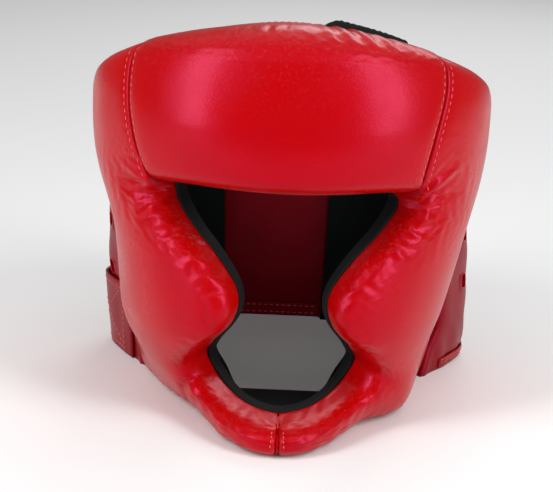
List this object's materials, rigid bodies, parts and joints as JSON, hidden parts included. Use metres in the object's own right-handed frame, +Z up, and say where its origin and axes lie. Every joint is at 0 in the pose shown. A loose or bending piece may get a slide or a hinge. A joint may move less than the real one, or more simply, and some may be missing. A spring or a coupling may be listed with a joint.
{
  "type": "boxing headgear",
  "caption": "Full-face padded boxing headgear with shaped cheek and chin guard, ear panels, crossing crown flaps and a wrap-round rear closure strap.",
  "frame": {"origin": "middle of the headgear's footprint, on the surface that it stands on", "axes": "+Z up, the face opening towards -Y, +X towards the wearer's left"},
  "size_m": [0.2347, 0.2625, 0.231],
  "materials": {
    "red_vinyl": "glossy pebbled synthetic leather",
    "dark_red_vinyl": "satin synthetic leather, flat panels",
    "black_lining": "matt brushed lining cloth",
    "binding_tape": "matt woven edge tape",
    "pad_foam": "cut cellular foam",
    "hook_and_loop": "matt hook-and-loop tape"
  },
  "bodies": {
    "shell": {"forehead_cover": "red_vinyl", "forehead_foam": "pad_foam", "forehead_lining": "black_lining", "cheek_cover_left": "red_vinyl", "cheek_foam_left": "pad_foam", "cheek_lining_left": "black_lining", "cheek_cover_right": "red_vinyl", "cheek_foam_right": "pad_foam", "cheek_lining_right": "black_lining", "face_binding": "binding_tape", "chin_gusset": "dark_red_vinyl", "chin_gusset_lining": "black_lining", "crown_flap_left": "red_vinyl", "crown_lining_left": "black_lining", "crown_loop_patch": "hook_and_loop", "crown_tongue": "red_vinyl", "crown_tongue_lining": "black_lining"},
    "ear_wing_left": {"ear_cover_left": "dark_red_vinyl", "ear_foam_left": "pad_foam", "ear_lining_left": "black_lining", "ear_hem_left": "dark_red_vinyl", "rear_loop_patch": "hook_and_loop"},
    "ear_wing_right": {"ear_cover_right": "dark_red_vinyl", "ear_foam_right": "pad_foam", "ear_lining_right": "black_lining", "ear_hem_right": "dark_red_vinyl", "nape_panel": "dark_red_vinyl", "nape_hem": "dark_red_vinyl"},
    "closure_strap": {"rear_strap": "dark_red_vinyl", "rear_hook_patch": "hook_and_loop"},
    "crown_flap": {"crown_flap_right": "red_vinyl", "crown_lining_right": "black_lining", "crown_hook_patch": "hook_and_loop"}
  },
  "joints": [
    {"name": "ear_wing_right_flex", "type": "hinge", "parent": "shell", "child": "ear_wing_right", "pos_m": [-0.102, 0.02, 0], "axis": [0, 0, 1], "range_deg": [0, 38], "stiffness_Nm_per_rad": 0.4},
    {"name": "ear_wing_left_flex", "type": "hinge", "parent": "shell", "child": "ear_wing_left", "pos_m": [0.1, 0.02, 0], "axis": [0, 0, -1], "range_deg": [0, 38], "stiffness_Nm_per_rad": 0.2},
    {"name": "closure_strap_peel", "type": "hinge", "parent": "ear_wing_right", "child": "closure_strap", "pos_m": [-0.106, 0.033, 0], "axis": [0, 0, 1], "range_deg": [0, 100]},
    {"name": "crown_flap_peel", "type": "hinge", "parent": "shell", "child": "crown_flap", "pos_m": [-0.08, 0, 0.2], "axis": [0, -1, 0], "range_deg": [0, 60]}
  ],
  "couplings": [
    {"joint": "ear_wing_left_flex", "follows": "ear_wing_right_flex", "ratio": 1}
  ]
}
